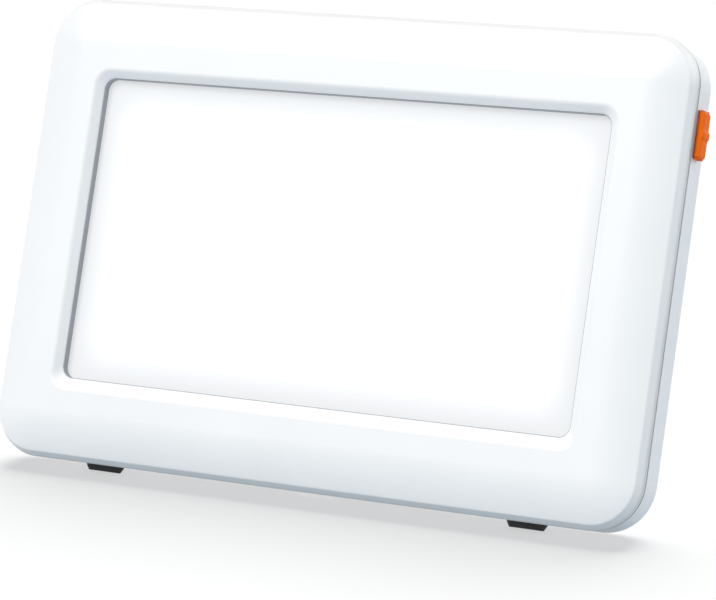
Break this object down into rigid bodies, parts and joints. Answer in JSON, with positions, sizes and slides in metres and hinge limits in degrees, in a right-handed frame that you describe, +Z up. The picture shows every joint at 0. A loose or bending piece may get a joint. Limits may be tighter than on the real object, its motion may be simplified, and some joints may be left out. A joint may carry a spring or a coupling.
{
  "type": "light therapy lamp",
  "caption": "Slim tablet-shaped light therapy lamp: white-framed lit panel that leans on rubber feet and a fold-out rear leg, with a slide switch on its side and a power inlet behind.",
  "frame": {"origin": "centre of the overall box, on the table that the lamp stands on", "axes": "+X along the lamp's width to the right as seen from the front, -Y the way the lit face looks, +Z up"},
  "size_m": [0.2372, 0.0746, 0.1526],
  "materials": {
    "bezel_white": "satin moulded",
    "cover_white": "fine spark texture",
    "leg_white": "fine spark texture",
    "gasket_grey": "foam",
    "diffuser_opal": "opal, lit from behind",
    "clear_acrylic": "clear",
    "reflector_white": "film",
    "carrier_grey": "moulded",
    "strip_white": "solder mask",
    "led_phosphor": "phosphor under clear resin",
    "spreader_aluminium": "mill",
    "screw_steel": "zinc plated",
    "pin_steel": "ground",
    "can_steel": "tin plated",
    "insulator_black": "film",
    "board_green": "solder mask",
    "ferrite_black": "sintered",
    "winding_copper": "enamelled wire",
    "can_aluminium": "drawn",
    "chip_black": "moulded",
    "plug_ivory": "moulded",
    "lead_white": "extruded",
    "lead_black": "extruded",
    "lead_red": "extruded",
    "socket_black": "moulded",
    "pin_nickel": "nickel plated",
    "nut_nickel": "nickel plated",
    "tag_brass": "stamped",
    "foot_rubber": "moulded",
    "washer_nylon": "natural",
    "knob_orange": "satin moulded",
    "slider_black": "moulded"
  },
  "bodies": {
    "housing": {"front_bezel": "bezel_white", "window_gasket": "gasket_grey", "diffuser_panel": "diffuser_opal", "light_guide": "clear_acrylic", "reflector_sheet": "reflector_white", "carrier_frame": "carrier_grey", "led_strip_top": "strip_white", "led_strip_bottom": "strip_white", "leds_top": "led_phosphor", "leds_bottom": "led_phosphor", "heat_spreader": "spreader_aluminium", "spreader_screws": "screw_steel", "insulator_sheet": "insulator_black", "driver_board": "board_green", "board_screws": "screw_steel", "driver_inductor": "ferrite_black", "inductor_winding": "winding_copper", "driver_capacitors": "can_aluminium", "driver_chips": "chip_black", "board_plugs": "plug_ivory", "led_leads": "lead_white", "power_leads": "lead_black", "switch_leads": "lead_red", "dc_socket": "socket_black", "dc_pin": "pin_nickel", "socket_nut": "nut_nickel", "dc_tags": "tag_brass", "switch_can": "can_steel", "switch_board": "board_green", "switch_screws": "screw_steel", "rear_cover": "cover_white", "case_screws": "screw_steel", "foot_left": "foot_rubber", "foot_right": "foot_rubber", "friction_washers": "washer_nylon"},
    "switch": {"switch_knob": "knob_orange", "switch_slider": "slider_black"},
    "leg": {"leg_panel": "leg_white", "leg_shoe": "foot_rubber", "hinge_pins": "pin_steel", "pin_set_screws": "screw_steel"}
  },
  "joints": [
    {"name": "leg_hinge", "type": "hinge", "parent": "housing", "child": "leg", "pos_m": [-0.00139, 0.01662, 0.11737], "axis": [1, 0, 0], "range_deg": [-26.9, 0]},
    {"name": "switch_slide", "type": "slide", "parent": "housing", "child": "switch", "axis": [0, 0.3074, 0.9516], "range_m": [-0.003, 0]}
  ]
}
